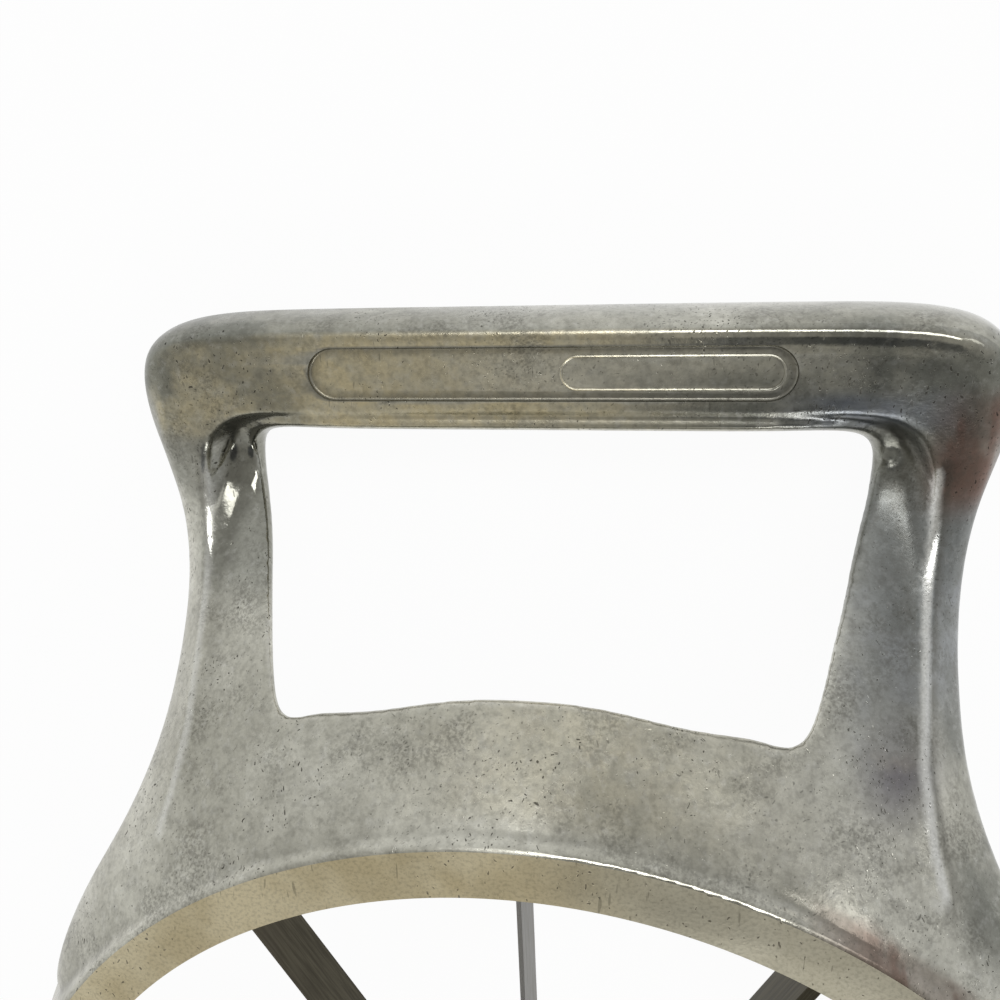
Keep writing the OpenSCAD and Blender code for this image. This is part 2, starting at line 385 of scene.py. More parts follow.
def labelCutter(turn):
    bm = bmesh.new()
    outline = ovalOutline(labelField["length"], labelField["width"])
    extruded(bm, [(x, y, 0) for x, y in outline], (0, 0, labelField["cutHeight"]))
    low = [e for e in bm.edges if all(v.co.z < 0.1 for v in e.verts)]
    beveled(bm, low, labelField["floorRound"], 3)
    flat = [f for f in bm.faces if abs(f.calc_center_median().z) < 0.01]
    floor = max(flat, key=lambda f: f.calc_area())
    for inset in labelField["floorRings"]:
        bmesh.ops.inset_region(bm, faces=[floor], thickness=inset, use_even_offset=True)
    bmesh.ops.translate(bm, vec=(0, *labelSpot()), verts=bm.verts)
    turnAbout(bm, turn)
    return meshFrom(bm, "labelCutter")


def labelFrame(turn):
    # plain raised bead on the field's floor
    curve = bpy.data.curves.new("labelFrame", "CURVE")
    curve.dimensions = "3D"
    curve.bevel_depth = labelField["frameBead"]
    curve.bevel_resolution = 2
    outline = ovalOutline(labelField["frameLength"], labelField["frameWidth"])
    spline = curve.splines.new("POLY")
    spline.points.add(len(outline) - 1)
    along, floor = labelSpot()
    for point, (x, y) in zip(spline.points, outline):
        point.co = (x + labelField["frameMiddle"], y + along, floor, 1)
    spline.use_cyclic_u = True
    holder = linked("labelFrame", curve)
    mesh = bpy.data.meshes.new_from_object(holder.evaluated_get(bpy.context.evaluated_depsgraph_get()))
    bm = bmesh.new()
    bm.from_mesh(mesh)
    bpy.data.objects.remove(holder)
    turnAbout(bm, turn)
    return meshFrom(bm, "labelFrame")


nub = {
    "radius": 1.0,
    "sink": 0.6,
    "places": ((31.5, 79.0),),
    "segments": (24, 16),
}


def cornerNub(body, x, y):
    # small round boss standing on the scooped surface
    above = Vector((x * millimetre, y * millimetre, 2 * rimHeight))
    ground = body.ray_cast(above, (0, 0, -1))[1].z
    around, upright = nub["segments"]
    bm = bmesh.new()
    bmesh.ops.create_uvsphere(bm, u_segments=around, v_segments=upright, radius=nub["radius"])
    level = (ground - rimHeight) / millimetre - nub["sink"]
    bmesh.ops.translate(bm, vec=(x, y, level), verts=bm.verts)
    return meshFrom(bm, "cornerNub")


blade = {
    "count": 12,
    "thickness": 0.6,
    "height": 6.0,
    "bevelHeight": 0.9,
    "edgeDrop": 1.7,  # from the rim down to the cutting edges
    "hold": 2.1,  # how deep the ends sit in the ring
    "clearance": 0.05,
    "endClearance": 0.1,
    "edgeRound": 0.05,
    "pocketStart": 3.0,  # the cut for the pockets begins this far inside the opening
}

corer = {
    "diameter": 22.0,
    "wall": 1.0,
    "length": 12.0,
    "lead": 0.9,  # how far the tube's edge stands above the blades' edges
    "bevel": 1.4,
    "segments": 192,
    "edgeRound": 0.06,
    "slitOverrun": 2.0,  # the cut for the slits runs this far past both sides of the wall
    "sharpAngle": 25.0,
}


def bladeTurn(i):
    return math.radians(90 - i * 360 / blade["count"])


def slotCutter(fromRadius, toRadius):
    tall = blade["height"] + blade["clearance"]
    wide = blade["thickness"] + 2 * blade["clearance"]
    top = -blade["edgeDrop"] + blade["clearance"]
    bm = bmesh.new()
    for i in range(blade["count"]):
        made = bmesh.ops.create_cube(bm, size=1)["verts"]
        bmesh.ops.scale(bm, vec=(toRadius - fromRadius, wide, tall), verts=made)
        bmesh.ops.translate(bm, vec=((fromRadius + toRadius) / 2, 0, top - tall / 2), verts=made)
        turnAbout(bm, bladeTurn(i), made)
    return meshFrom(bm, "slotCutter")


def softened(values, edges, counts, rounds):
    # in each round a point goes halfway to the mean of its neighbours
    soft = values.copy()
    for _ in range(rounds):
        mean = np.empty_like(soft)
        for axis in range(soft.shape[1]):
            column = np.bincount(edges[:, 0], soft[edges[:, 1], axis], len(soft))
            column += np.bincount(edges[:, 1], soft[edges[:, 0], axis], len(soft))
            mean[:, axis] = column / counts
        soft += (mean - soft) / 2
    return soft


def meshArrays(mesh):
    points = np.empty(len(mesh.vertices) * 3)
    mesh.vertices.foreach_get("co", points)
    edges = np.empty(len(mesh.edges) * 2, np.int64)
    mesh.edges.foreach_get("vertices", edges)
    edges = edges.reshape(-1, 2)
    normals = np.empty(len(mesh.vertices) * 3)
    mesh.vertices.foreach_get("normal", normals)
    counts = np.maximum(np.bincount(edges.ravel(), minlength=len(mesh.vertices)), 1)
    return points.reshape(-1, 3), edges, counts, normals.reshape(-1, 3)


def rise(value, low, high):
    share = np.clip((value - low) / (high - low), 0, 1)
    return share * share * (3 - 2 * share)


def fall(value, low, high):
    return 1 - rise(value, low, high)


def ridgeGap(x, y):
    # distance in plan from the crest that runs up each arm, and whether a point is outside it
    line = []
    for row in stations()[crestLine["first"]:crestLine["last"] + 1]:
        inner, outer, gripShare, webShare = row[:4]
        line.append(inner.lerp(outer, sectionPoint(crestLine["point"], gripShare, webShare)[0]))
    gap, outside = np.full(len(x), np.inf), np.zeros(len(x), bool)
    for a, b in zip(line, line[1:]):
        run = b - a
        t = np.clip(((x - a.x) * run.x + (y - a.y) * run.y) / run.length_squared, 0, 1)
        here = np.hypot(x - a.x - t * run.x, y - a.y - t * run.y)
        outside = np.where(here < gap, x > a.x + t * run.x, outside)
        gap = np.minimum(gap, here)
    return gap, outside


wearAndShade = {
    "rounds": 14,  # rounds of smoothing, which set how broad a bulge counts
    "bulgeRounds": 2,
    "wornFrom": 0.86,  # edges turn worn between these two quantiles of the bulge
    "wornFully": 0.985,
    "deepest": 0.16,  # a hollow of this depth gets the darkest painted shade
    "fieldMargin": 7.0,  # worn edges are faint this near to the label field
}


def labelFieldShade(x, y, z):
    # how far inside the field's wall a point lies, whether it is sunk there, and the painted shade along the
    # walls
    reach = (labelField["length"] - labelField["width"]) / 2
    across = np.hypot(np.maximum(abs(x) - reach, 0), y - handle["gripY"] - labelField["offset"])
    fieldWall = labelField["width"] / 2 - across
    sunk = (fieldWall > -0.05) * (z < -handle["gripDrop"] - 0.1) * (z > -handle["gripDrop"] - 1)
    return fieldWall, sunk, 0.06 + 0.8 * fall(fieldWall, 0.2, 1.1)


def spread(*shares):
    return np.clip(sum(shares), 0, 1)


# masks for worn edges and for painted shade, highlights and reflections
def wearAndPaintedLightMasks(x, y, z, up, bulge):
    # regions of a handle, seen from above with its bar away from the viewer
    r = np.hypot(x, y)
    face = rise(up, 0.75, 0.97) * rise(y, 80.0, 82.5) * rise(z, -29.0, -26.5)
    land = (up > 0.99) * (z > -0.01)
    right = rise(x, -2.0, 22.0)
    arm = fall(z, -4.0, -1.0) * rise(r, 56.0, 60.0)
    fieldWall, sunk, fieldShade = labelFieldShade(x, y, z)
    # worn edges, and a painted highlight along the crest up each arm, with a painted shadow outside the one
    # on the right arm
    worn = rise(bulge, np.quantile(bulge, wearAndShade["wornFrom"]), np.quantile(bulge, wearAndShade["wornFully"]))
    worn = worn * np.where(fieldWall > -wearAndShade["fieldMargin"], 0.1, 1)
    gap, outside = ridgeGap(abs(x), y)
    aloft = rise(up, 0.1, 0.3)
    # painted highlight along each arm's crest, stronger on the right
    crest = fall(gap, 0.1, 0.6) * aloft * (0.55 + 0.45 * rise(x, -5.0, 5.0))
    shadow = rise(gap, 0.5, 0.7) * fall(gap, 0.8, 1.5) * aloft * outside * rise(x, 0.0, 10.0)
    # painted shade in hollows and along the label field's walls
    hollowShade = np.where(sunk, fieldShade, np.clip(-bulge / wearAndShade["deepest"], 0, 1))
    # painted reflections and shade: warm sheen, dark patches and coloured tints
    # painted warm sheen in the web's middle, also darkened there as painted shade
    warmWeb = 0.4 * np.exp(-((x - 5) / 11) ** 2) * rise(r, 55.5, 57.5) * fall(r, 62.0, 65.0)
    # painted brown reflection on the bar's right corner
    brownCorner = rise(x, 33.0, 36.5) * rise(y, 73.0, 77.0) * fall(y, 84.0, 87.0)
    # painted reddish reflection on the rim's outer wall on the right
    rimReflection = fall(abs(r - 55.1), 0.7, 1.5) * rise(x, 20.0, 30.0) * rise(y, 15.0, 38.0)
    rimReflection = rimReflection * (z > -6) * (1 - land)
    # painted blue-grey reflection on the right of the bar
    blueBar = rise(x, 18.0, 27.0) * rise(y, 81.5, 83.0) * fall(y, 85.0, 86.5) * fall(x, 35.0, 38.0)
    # painted tinted reflection at the right arm's foot
    footReflection = np.exp(-((x - 31) ** 2 + (y - 57) ** 2) / 8)
    # painted shade and painted dark reflections: the near half of the bar's face on the right, the bar's far
    # side, the left corner and elbow, the web's middle and the right arm
    paintedShade = spread(
        face * right * (1 - 0.6 * rise(y, 86.0, 88.5)),
        0.5 * rise(y, 90.2, 91.8),  # far side of the bar
        rise(-x, 34.0, 37.5) * rise(y, 72.0, 78.0),  # left corner
        warmWeb,
        rise(x, 34.0, 37.0) * arm * rise(y, 30.0, 50.0),  # right arm's outer edge
        0.75 * rise(-x, 22.0, 25.0) * rise(y, 64.0, 69.0) * fall(-x, 34.0, 37.0),  # left elbow
        rise(x, 24.0, 32.0) * arm * rise(y, 54.0, 66.0),  # right arm
        0.5 * blueBar)
    leftElbow = rise(-x, 22.0, 26.0) * rise(y, 64.0, 69.0) * fall(y, 79.0, 83.0) * fall(-x, 34.0, 36.0)
    polish = spread(
        leftElbow,
        0.7 * rise(x, 18.0, 26.0) * arm * fall(y, 63.0, 68.0),  # right arm's foot
        rise(x, -2.0, 6.0) * fall(r, 56.5, 60.0) * (1 - land) * rise(y, 5.0, 30.0),  # rim's outer edge
        rise(x, 0.0, 20.0) * rise(y, 88.5, 90.5))  # far side of the bar
    # painted blue-grey reflection on the right arm
    blueArm = rise(x, 24.0, 30.0) * rise(y, 54.0, 64.0) * (1 - face) * fall(y, 74.0, 79.0) * 0.7
    return {
        # worn edges, with the painted highlight along each crest
        "edgeWearAndHighlight": np.where(sunk, 0, np.maximum(worn, crest)),
        # painted shade in hollows, with the painted shadow beside the right crest
        "cavityShade": np.maximum(hollowShade, 0.8 * shadow),
        # painted warm reflection on the bar's upward face, mostly on the left, and on the land, with the
        # web's painted sheen
        "tan": np.maximum(face * (1 - 0.8 * right), land) + warmWeb,
        "paintedShade": paintedShade,
        "polish": polish,
        # painted coloured reflections
        "blue": spread(blueArm, blueBar, footReflection),
        "brown": spread(brownCorner, rimReflection, 0.4 * footReflection),
    }


def storeWearAndPaintedLight(body):
    points, edges, counts, normals = meshArrays(body.data)
    # how far each point stands above or below the smoothed surface around it
    soft = softened(points, edges, counts, wearAndShade["rounds"])
    bulge = ((points - soft) * normals).sum(1) / millimetre
    bulge = softened(bulge[:, None], edges, counts, wearAndShade["bulgeRounds"])[:, 0]
    # both handles are alike, so a point counts from the nearer one
    side = np.where(points[:, 1] < 0, -1, 1) / millimetre
    x, y, z = points[:, 0] * side, points[:, 1] * side, (points[:, 2] - rimHeight) / millimetre
    for name, level in wearAndPaintedLightMasks(x, y, z, normals[:, 2], bulge).items():
        layer = body.data.attributes.new(name, "FLOAT", "POINT")
        layer.data.foreach_set("value", level.astype(np.float32))


elbow = {
    "inside": (25.0, 27.0),
    "outside": (34.0, 36.5),
    "foot": (64.0, 69.0),
    "top": 82.0,
    "topWithNub": 77.0,
    "topFade": 2.5,
    "lowest": 2.0,  # above the surface
    "rounds": 45,
    "steps": 4,
}


def easeElbows(body):
    # rubs the scooped elbows smoother than the rest, but on the side with the boss only below it
    points = meshArrays(body.data)[0] / millimetre
    x, y = abs(points[:, 0]), abs(points[:, 1])
    top = np.where(points[:, 0] * points[:, 1] < 0, elbow["top"], elbow["topWithNub"])
    weight = rise(x, *elbow["inside"]) * fall(x, *elbow["outside"])
    weight = weight * rise(y, *elbow["foot"]) * fall(y, top - elbow["topFade"], top)
    weight *= points[:, 2] > elbow["lowest"]
    group = body.vertex_groups.new(name="elbow")
    steps = elbow["steps"]
    for step in range(1, steps + 1):
        chosen = np.flatnonzero(abs(weight - step / steps) <= 0.5 / steps)
        group.add(chosen.tolist(), step / steps, "REPLACE")
    applied(body, "SMOOTH", factor=finish["smoothShare"], iterations=elbow["rounds"], vertex_group="elbow")
    body.vertex_groups.clear()


finish = {
    "voxel": 0.32,
    "smoothRounds": 6,
    "smoothShare": 0.5,
    "triangles": 165000,
    "sharpAngle": 38.0,
    "landFacing": 0.999,  # how level a face of the ground rim is
    "landDepth": 0.01,
}


def makeCasting():
    handles = [makeHandle(turn) for turn in handle["turns"]]
    body = joined("castFrame", [makeRing()] + handles)
    nubs = [cornerNub(body, x * side, y * side) for x, y in nub["places"] for side in (1, -1)]
    body = joined("castFrame", [body] + nubs)
    applied(body, "REMESH", mode="VOXEL", voxel_size=finish["voxel"] * millimetre)
    print("casting remeshed:", len(body.data.polygons))
    applied(body, "SMOOTH", factor=finish["smoothShare"], iterations=finish["smoothRounds"])
    easeElbows(body)
    triangles = 2 * len(body.data.polygons)
    applied(body, "DECIMATE", ratio=min(1, finish["triangles"] / triangles))
    carved(body, slabCutter())
    carved(body, boreCutter())
    for turn in handle["turns"]:
        carved(body, labelCutter(turn))
        carved(body, labelFrame(turn), "UNION")
    opening = ring["openingRadius"]
    carved(body, slotCutter(opening - blade["pocketStart"], opening + blade["hold"] + blade["endClearance"]))
    body.data.name = "castFrame"
    storeWearAndPaintedLight(body)
    top = rimHeight - finish["landDepth"] * millimetre
    for face in body.data.polygons:
        if face.normal.z > finish["landFacing"] and face.center.z > top:
            face.material_index = 1
    shadeSmooth(body, finish["sharpAngle"])
    print("casting finished:", len(body.data.polygons))
    return body


def makeBlade(i):
    inner = corer["diameter"] / 2 - corer["wall"] + blade["endClearance"]
    outer = ring["openingRadius"] + blade["hold"]
    half, tall, top = blade["thickness"] / 2, blade["height"], -blade["edgeDrop"]
    # one side is straight from back to edge, the other is ground away to it
    section = [(-half, 0), (-half, -tall), (half, -tall), (half, -blade["bevelHeight"])]
    bm = bmesh.new()
    extruded(bm, [(inner, y, top + z) for y, z in section], (outer - inner, 0, 0))
    long = [e for e in bm.edges if abs(e.verts[0].co.x - e.verts[1].co.x) > 1]
    beveled(bm, [e for e in long if e.verts[0].co.z < top - 0.01], blade["edgeRound"], 3)
    turnAbout(bm, bladeTurn(i))
    return meshFrom(bm, "wedgeBlade_%02d" % (i + 1))


def makeCorer():
    outer = corer["diameter"] / 2
    inner = outer - corer["wall"]
    edge = corer["lead"] - blade["edgeDrop"]
    back = edge - corer["length"]
    profile = [(inner, back), (outer, back), (outer, edge), (inner, edge - corer["bevel"])]
    bm = revolved(profile, corer["segments"])
    rims = [e for e in bm.edges if abs(e.verts[0].co.z - e.verts[1].co.z) < 0.01
            and e.verts[0].co.z < edge - 0.1]
    beveled(bm, rims, corer["edgeRound"], 2)
    made = meshFrom(bm, "corerTube")
    carved(made, slotCutter(inner - corer["slitOverrun"], outer + corer["slitOverrun"]))
    shadeSmooth(made, corer["sharpAngle"])
    return made


def place(tree, kind, inputs=None, **settings):
    made = tree.nodes.new(kind)
    for name, value in settings.items():
        setattr(made, name, value)
    for name, value in (inputs or {}).items():
        if isinstance(value, bpy.types.NodeSocket):
            tree.links.new(value, made.inputs[name])
        else:
            made.inputs[name].default_value = value
    return made


def calc(tree, operation, a, b=0.0, clamp=False):
    return place(tree, "ShaderNodeMath", {0: a, 1: b}, operation=operation, use_clamp=clamp).outputs[0]


def scaled(tree, value, share):
    return calc(tree, "MULTIPLY", value, share)


def vectorCalc(tree, operation, inputs):
    return place(tree, "ShaderNodeVectorMath", inputs, operation=operation).outputs


def ramp(tree, value, low, high, start=0.0, stop=1.0):
    inputs = {"Value": value, "From Min": low, "From Max": high, "To Min": start, "To Max": stop}
    return place(tree, "ShaderNodeMapRange", inputs, interpolation_type="SMOOTHSTEP").outputs[0]


def blendColor(tree, factor, a, b):
    return place(tree, "ShaderNodeMix", {0: factor, 6: a, 7: b}, data_type="RGBA").outputs[2]


def layered(tree, color, layers):
    # each layer is how much it covers, and its colour
    for share, tone in layers:
        color = blendColor(tree, share, color, tone)
    return color


def noise(tree, vector, scale, detail=2.0, roughness=0.5, output="Factor"):
    inputs = {"Vector": vector, "Scale": scale, "Detail": detail, "Roughness": roughness}
    return place(tree, "ShaderNodeTexNoise", inputs).outputs[0 if output == "Factor" else 1]


def turned(tree, vector, turn=(0, 0, 0), scale=(1, 1, 1), shift=(0, 0, 0)):
    inputs = {"Vector": vector, "Location": shift, "Rotation": turn, "Scale": scale}
    return place(tree, "ShaderNodeMapping", inputs).outputs[0]


def newGroup(name, inputs):
    # a node group that puts out one mask
    group = bpy.data.node_groups.new(name, "ShaderNodeTree")
    for label, kind, value in inputs:
        socket = group.interface.new_socket(label, in_out="INPUT", socket_type=kind)
        if value is not None:
            socket.default_value = value
    group.interface.new_socket("Mask", in_out="OUTPUT", socket_type="NodeSocketFloat")
    return group, group.nodes.new("NodeGroupInput").outputs, group.nodes.new("NodeGroupOutput").inputs


pitShape = {
    "warpScale": 900.0,
    "warpReach": 0.0012,
    "turn": (0.3, 0.2, -0.6),
    "stretch": (1.0, 0.5, 1.0),
    "patch": (0.4, 0.66, 0.12, 1.0),  # range of the noise, and the share of pits at its ends
    "growth": 2.2,
    "size": 0.34,
    "edge": 14.0,
}


def makePitGroup():
    # small sunk pits in patches: 1 in a pit, 0 outside
    tree, given, put = newGroup("castPits", [
        ("Vector", "NodeSocketVector", None), ("Scale", "NodeSocketFloat", 600.0),
        ("Amount", "NodeSocketFloat", 0.3), ("Patch Scale", "NodeSocketFloat", 60.0)])
    warp = noise(tree, given["Vector"], pitShape["warpScale"], 1.0, output="Color")
    warp = vectorCalc(tree, "SUBTRACT", {0: warp, 1: (0.5, 0.5, 0.5)})[0]
    warp = vectorCalc(tree, "SCALE", {0: warp, "Scale": pitShape["warpReach"]})[0]
    bent = vectorCalc(tree, "ADD", {0: given["Vector"], 1: warp})[0]
    bent = turned(tree, bent, pitShape["turn"], pitShape["stretch"])
    cell = place(tree, "ShaderNodeTexVoronoi", {"Vector": bent, "Scale": given["Scale"]}, feature="F1")
    chance = place(tree, "ShaderNodeSeparateColor", {0: cell.outputs["Color"]}).outputs[0]
    patch = ramp(tree, noise(tree, given["Vector"], given["Patch Scale"], 3.0, 0.6), *pitShape["patch"])
    over = calc(tree, "SUBTRACT", scaled(tree, patch, given["Amount"]), chance)
    size = calc(tree, "MULTIPLY", over, pitShape["growth"], clamp=True)
    size = scaled(tree, calc(tree, "POWER", size, 0.5), pitShape["size"])
    gap = calc(tree, "SUBTRACT", size, cell.outputs["Distance"])
    tree.links.new(calc(tree, "MULTIPLY", gap, pitShape["edge"], clamp=True), put["Mask"])
    return tree


def makeCloudGroup():
    # broad uneven patches, from 0 to 1
    tree, given, put = newGroup("broadClouds", [
        ("Vector", "NodeSocketVector", None), ("Scale", "NodeSocketFloat", 30.0),
        ("Low", "NodeSocketFloat", 0.4), ("High", "NodeSocketFloat", 0.6)])
    field = noise(tree, given["Vector"], given["Scale"], 4.0, 0.6)
    tree.links.new(ramp(tree, field, given["Low"], given["High"]), put["Mask"])
    return tree


def useGroup(tree, group, **inputs):
    named = {name.replace("_", " "): value for name, value in inputs.items()}
    return place(tree, "ShaderNodeGroup", named, node_tree=group).outputs[0]


def newMaterial(name):
    material = bpy.data.materials.new(name)
    material.use_nodes = True
    tree = material.node_tree
    shader = tree.nodes["Principled BSDF"]
    coords = place(tree, "ShaderNodeTexCoord").outputs["Object"]
    return material, tree, shader, coords


def attribute(tree, name):
    return place(tree, "ShaderNodeAttribute", attribute_name=name).outputs["Fac"]


def finishMetal(tree, shader, color, rough, height, strength, distance):
    bump = place(tree, "ShaderNodeBump", {"Height": height, "Strength": strength, "Distance": distance})
    for socket, value in (("Base Color", color), ("Roughness", rough), ("Normal", bump.outputs[0])):
        tree.links.new(value, shader.inputs[socket])
    shader.inputs["Metallic"].default_value = 1.0


castLook = {
    "grey": (0.46, 0.45, 0.385, 1),
    "pale": (0.70, 0.69, 0.61, 1),
    # tan tones: painted warm reflection
    "tan": (0.72, 0.625, 0.40, 1),
    "tanPale": (0.84, 0.75, 0.51, 1),
    # colour of the painted shade and painted dark reflections
    "paintedShade": (0.20, 0.205, 0.18, 1),
    "dark": (0.10, 0.095, 0.08, 1),
    "soot": (0.035, 0.032, 0.026, 1),
    "bright": (0.88, 0.88, 0.85, 1),
    # blue and brown: colours of painted reflections
    "blue": (0.20, 0.225, 0.27, 1),
    "brown": (0.19, 0.11, 0.085, 1),
    "roughness": (0.25, 0.37),
    "bumpStrength": 0.35,
    "bumpDistance": 0.00012,
    "clouds": {
        # scale, low and high end, shift and stretch of each kind of patch
        "broad": (55.0, 0.32, 0.68, (0, 0, 0), (1, 1, 1)),
        "mottle": (480.0, 0.36, 0.68, (0, 0, 0), (1, 1, 1)),
        "fleck": (1500.0, 0.42, 0.7, (0, 0, 0), (1, 1, 1)),
        "clean": (1100.0, 0.5, 0.72, (0.5, 0.9, 0.2), (1, 1, 1)),
        "grime": (150.0, 0.48, 0.66, (0.2, 0.6, 0.8), (1, 1, 1)),
        # patches that break up the painted reflections and shade
        "reflectionPatches": (90.0, 0.44, 0.62, (0.3, 0.1, 0), (1, 1, 1)),
        "streaks": (60.0, 0.46, 0.6, (0.7, 0.2, 0.4), (2.2, 0.7, 1.0)),
    },
    "scratches": [
        # turn, scale and amount of each set of scratches
        ((0.5, 0.3, 0.6), 3400.0, 0.36),
        ((-0.4, 0.6, -0.9), 3000.0, 0.32),
        ((0.9, -0.2, 1.6), 3800.0, 0.3),
    ],
}


def makeScratches(tree, coords, pits):
    marks = []
    for turn, scale, amount in castLook["scratches"]:
        lines = turned(tree, coords, turn, (1.0, 0.14, 1.0))
        marks.append(useGroup(tree, pits, Vector=lines, Scale=scale, Amount=amount, Patch_Scale=150.0))
    return calc(tree, "MAXIMUM", calc(tree, "MAXIMUM", marks[0], marks[1]), marks[2])


def makeCastMaterial(groups):
    material, tree, shader, coords = newMaterial("castAluminium")
    pits, cloud = groups["pits"], {}
    for name, (scale, low, high, shift, stretch) in castLook["clouds"].items():
        moved = turned(tree, coords, scale=stretch, shift=shift)
        cloud[name] = useGroup(tree, groups["clouds"], Vector=moved, Scale=scale, Low=low, High=high)
    mottle, reflectionPatches, streaks = cloud["mottle"], cloud["reflectionPatches"], cloud["streaks"]
    # edge wear, with the painted highlight along each arm's crest
    worn, polish = attribute(tree, "edgeWearAndHighlight"), attribute(tree, "polish")
    holes = useGroup(tree, pits, Vector=coords, Scale=3600.0, Amount=0.55, Patch_Scale=110.0)
    specks = useGroup(tree, pits, Vector=turned(tree, coords, (1.0, 0.4, 0.9)),
                      Scale=4200.0, Amount=0.55, Patch_Scale=70.0)
    scratches = makeScratches(tree, coords, pits)
    grain = noise(tree, coords, 3200.0, 3.0, 0.65)
    warm = blendColor(tree, mottle, castLook["tan"], castLook["tanPale"])
    dark, bright, soot = castLook["dark"], castLook["bright"], castLook["soot"]
    color = blendColor(tree, cloud["broad"], castLook["grey"], castLook["pale"])
    color = layered(tree, color, [
        # painted warm reflection
        (scaled(tree, attribute(tree, "tan"), ramp(tree, mottle, 0, 1, 0.95, 0.7)), warm),
        # painted shade and painted dark reflections
        (scaled(tree, attribute(tree, "paintedShade"), ramp(tree, reflectionPatches, 0, 1, 0.9, 0.45)), castLook["paintedShade"]),
        (scaled(tree, cloud["clean"], 0.16), bright),
        # painted coloured reflections, broken up in patches
        (scaled(tree, attribute(tree, "blue"), ramp(tree, reflectionPatches, 0, 1, 0.45, 0.85)), castLook["blue"]),
        (scaled(tree, attribute(tree, "brown"), ramp(tree, streaks, 0, 1, 0.45, 0.85)), castLook["brown"]),
        (ramp(tree, grain, 0.35, 0.72, 0.0, 0.13), dark),
        (scaled(tree, mottle, 0.17), dark),
        (scaled(tree, cloud["fleck"], 0.27), dark),
        (scaled(tree, cloud["grime"], ramp(tree, grain, 0.4, 0.62, 0.05, 0.42)), dark),
        (scaled(tree, worn, ramp(tree, grain, 0.3, 0.7, 0.85, 0.6)), bright),
        # painted shade in hollows and recesses, and a painted shadow
        (scaled(tree, attribute(tree, "cavityShade"), 0.6), dark),
        (scaled(tree, scratches, 0.4), dark),
        (scaled(tree, specks, 0.45), soot),
        (scaled(tree, holes, 0.75), soot),
    ])
    rough = ramp(tree, noise(tree, coords, 160.0, 4.0, 0.6), 0.3, 0.7, *castLook["roughness"])
    smooth = calc(tree, "ADD", scaled(tree, polish, 0.2), scaled(tree, worn, 0.08))
    rough = calc(tree, "SUBTRACT", rough, smooth)
    rough = calc(tree, "ADD", rough, scaled(tree, holes, 0.35), clamp=True)
    height = scaled(tree, grain, ramp(tree, polish, 0, 1, 0.4, 0.15))
    height = calc(tree, "ADD", height, scaled(tree, noise(tree, coords, 900.0, 2.0), 0.35))
    height = calc(tree, "SUBTRACT", height, scaled(tree, holes, 1.4))
    height = calc(tree, "SUBTRACT", height, scaled(tree, scratches, 0.35))
    finishMetal(tree, shader, color, rough, height, castLook["bumpStrength"], castLook["bumpDistance"])
    return material


rimLook = {
    # the warm tan tones are a painted warm reflection
    "tan": (0.62, 0.535, 0.345, 1),
    "pale": (0.76, 0.68, 0.48, 1),
    "grey": (0.42, 0.42, 0.37, 1),
    "dark": (0.11, 0.10, 0.075, 1),
    "greySpan": (-0.002, 0.014),  # where the right side turns grey as a painted reflection, in metres
    "greyShare": 0.62,
    "greyFade": 0.03,  # both tones meet softly at the sides
    "roughness": (0.42, 0.55),
    "bumpStrength": 0.45,
    "bumpDistance": 0.0001,
}


def makeRimMaterial(groups):
    # the grinding marks run round the ring
    material, tree, shader, coords = newMaterial("groundRim")
    spot = place(tree, "ShaderNodeSeparateXYZ", {0: coords}).outputs
    radius = vectorCalc(tree, "LENGTH", {0: coords})["Value"]
    around = calc(tree, "ARCTAN2", spot["Y"], spot["X"])
    lines = place(tree, "ShaderNodeCombineXYZ", {"X": radius, "Y": scaled(tree, around, 0.003)})
    ground = noise(tree, lines.outputs[0], 3000.0, 3.0, 0.6)
    clouds = useGroup(tree, groups["clouds"], Vector=coords, Scale=110.0, Low=0.35, High=0.65)
    grain = noise(tree, coords, 3000.0, 3.0, 0.6)
    scored = turned(tree, coords, (0.0, 0.0, 1.1), (1.0, 0.12, 1.0))
    scratches = useGroup(tree, groups["pits"], Vector=scored, Scale=3600.0, Amount=0.5, Patch_Scale=150.0)
    pits = useGroup(tree, groups["pits"], Vector=coords, Scale=2800.0, Amount=0.45, Patch_Scale=90.0)
    side = scaled(tree, spot["X"], calc(tree, "SIGN", spot["Y"]))
    away = ramp(tree, calc(tree, "ABSOLUTE", spot["Y"]), 0.0, rimLook["greyFade"])
    grey = ramp(tree, side, *rimLook["greySpan"], 0.0, rimLook["greyShare"])
    color = blendColor(tree, clouds, rimLook["tan"], rimLook["pale"])
    color = layered(tree, color, [
        # painted reflection: the right side turns grey
        (scaled(tree, grey, away), rimLook["grey"]),
        (ramp(tree, grain, 0.4, 0.75, 0.0, 0.3), rimLook["dark"]),
        (scaled(tree, scratches, 0.4), rimLook["dark"]),
        (scaled(tree, pits, 0.75), rimLook["dark"]),
    ])
    rough = ramp(tree, noise(tree, coords, 160.0, 3.0), 0.3, 0.7, *rimLook["roughness"])
    height = calc(tree, "ADD", scaled(tree, ground, 0.3), scaled(tree, grain, 0.3))
    height = calc(tree, "SUBTRACT", height, pits)
    finishMetal(tree, shader, color, rough, height, rimLook["bumpStrength"], rimLook["bumpDistance"])
    return material


steelLook = {
    "blade": (0.042, 0.037, 0.025, 1),
    "bladePale": (0.08, 0.072, 0.05, 1),
    "corer": (0.34, 0.33, 0.29, 1),
    "corerPale": (0.46, 0.45, 0.41, 1),
    "stain": (0.07, 0.06, 0.045, 1),
    "roughness": (0.30, 0.42),
    "bumpStrength": 0.25,
    "bumpDistance": 0.00006,
}


